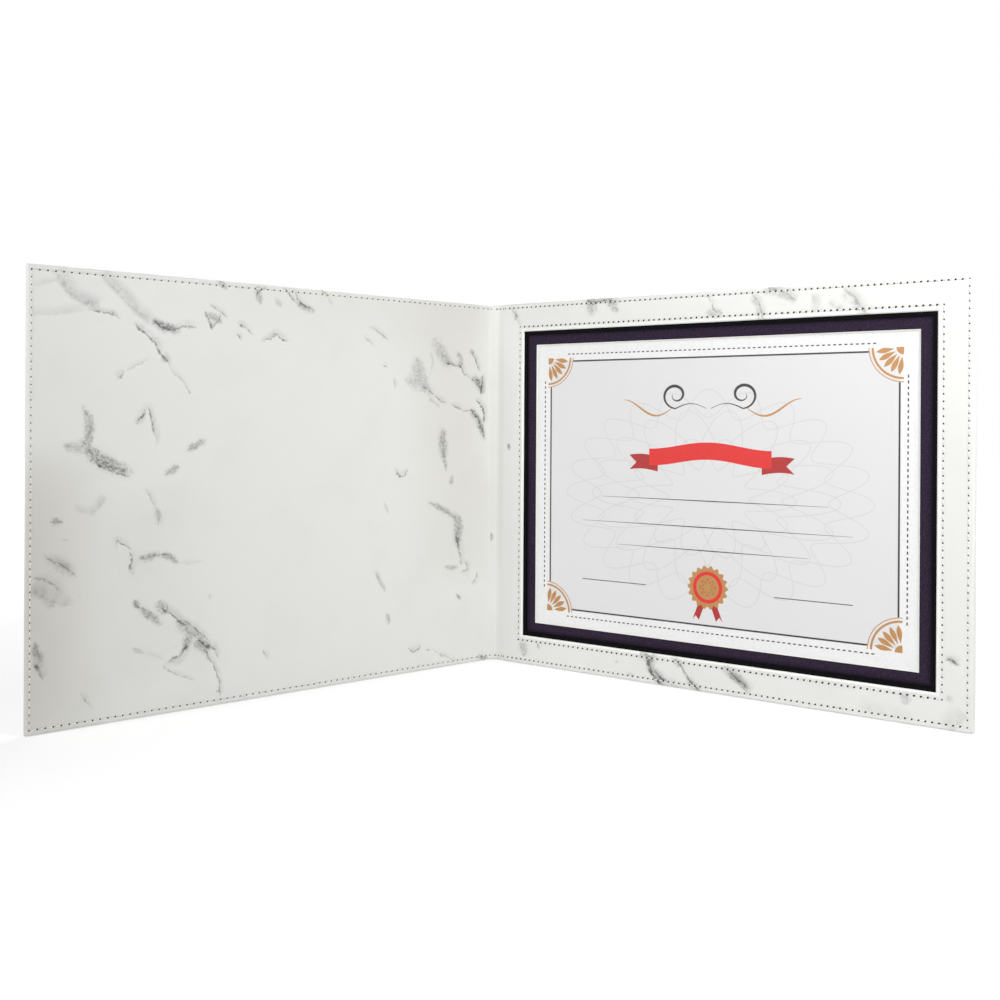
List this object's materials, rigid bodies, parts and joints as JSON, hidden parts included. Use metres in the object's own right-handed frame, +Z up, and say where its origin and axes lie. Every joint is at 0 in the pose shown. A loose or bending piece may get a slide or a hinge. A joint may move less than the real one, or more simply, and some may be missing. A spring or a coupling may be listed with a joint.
{
  "type": "certificate holder",
  "caption": "Book-style certificate holder in white marbled leatherette: a plain cover and a stitched window cover fold at a creased spine, with a dark mat and a loose sheet in its pocket.",
  "frame": {"origin": "middle of the box that the open holder stands in, on the surface under its lower edges", "axes": "+Z up; +X along the window cover from the spine to its outer edge; the window faces -Y, and the plain cover comes forward to -Y from the spine at the left"},
  "size_m": [0.3912, 0.3036, 0.2413],
  "materials": {
    "marbled_leatherette": "white marble print on fine-grained leatherette",
    "greyboard": "plain greyboard",
    "black_card": "matt black card",
    "aubergine_mat": "fine suede-like aubergine board",
    "certificate_paper": "smooth printed paper",
    "white_thread": "white polyester sewing thread"
  },
  "bodies": {
    "back_cover": {"back_cover_skin": "marbled_leatherette", "back_turn_in": "marbled_leatherette", "back_board": "greyboard", "backing_sheet": "black_card", "pocket_spacer": "black_card", "frame_liner": "black_card", "window_frame": "marbled_leatherette", "back_stitching_inside": "white_thread", "back_stitching_outside": "white_thread", "window_stitching": "white_thread"},
    "spine": {"spine_skin": "marbled_leatherette", "spine_strip": "greyboard", "spine_lining": "marbled_leatherette", "spine_stitching_bottom_inside": "white_thread", "spine_stitching_bottom_outside": "white_thread", "spine_stitching_top_inside": "white_thread", "spine_stitching_top_outside": "white_thread", "back_crease_outer": "marbled_leatherette", "back_crease_inner": "marbled_leatherette", "front_crease_outer": "marbled_leatherette", "front_crease_inner": "marbled_leatherette"},
    "front_cover": {"front_cover_skin": "marbled_leatherette", "front_turn_in": "marbled_leatherette", "front_board": "greyboard", "front_lining": "marbled_leatherette", "front_stitching_inside": "white_thread", "front_stitching_outside": "white_thread"},
    "certificate": {"certificate": "certificate_paper"},
    "mat": {"mat": "aubergine_mat"}
  },
  "joints": [
    {"name": "back_crease", "type": "hinge", "parent": "spine", "child": "back_cover", "pos_m": [-0.1092, 0.15043, 0.12065], "axis": [0, 0, -1], "range_deg": [-37.7, 52.3], "deforming": ["back_crease_outer", "back_crease_inner"]},
    {"name": "front_crease", "type": "hinge", "parent": "spine", "child": "front_cover", "pos_m": [-0.1179, 0.14371, 0.12065], "axis": [0, 0, 1], "range_deg": [-37.7, 52.3], "deforming": ["front_crease_outer", "front_crease_inner"]},
    {"name": "certificate_slide", "type": "slide", "parent": "back_cover", "child": "certificate", "axis": [-1, 0, 0], "range_m": [0, 0.0095]},
    {"name": "mat_slide", "type": "slide", "parent": "back_cover", "child": "mat", "axis": [-1, 0, 0], "range_m": [0, 0.0095]}
  ],
  "couplings": [
    {"joint": "front_crease", "follows": "back_crease", "ratio": 1}
  ]
}
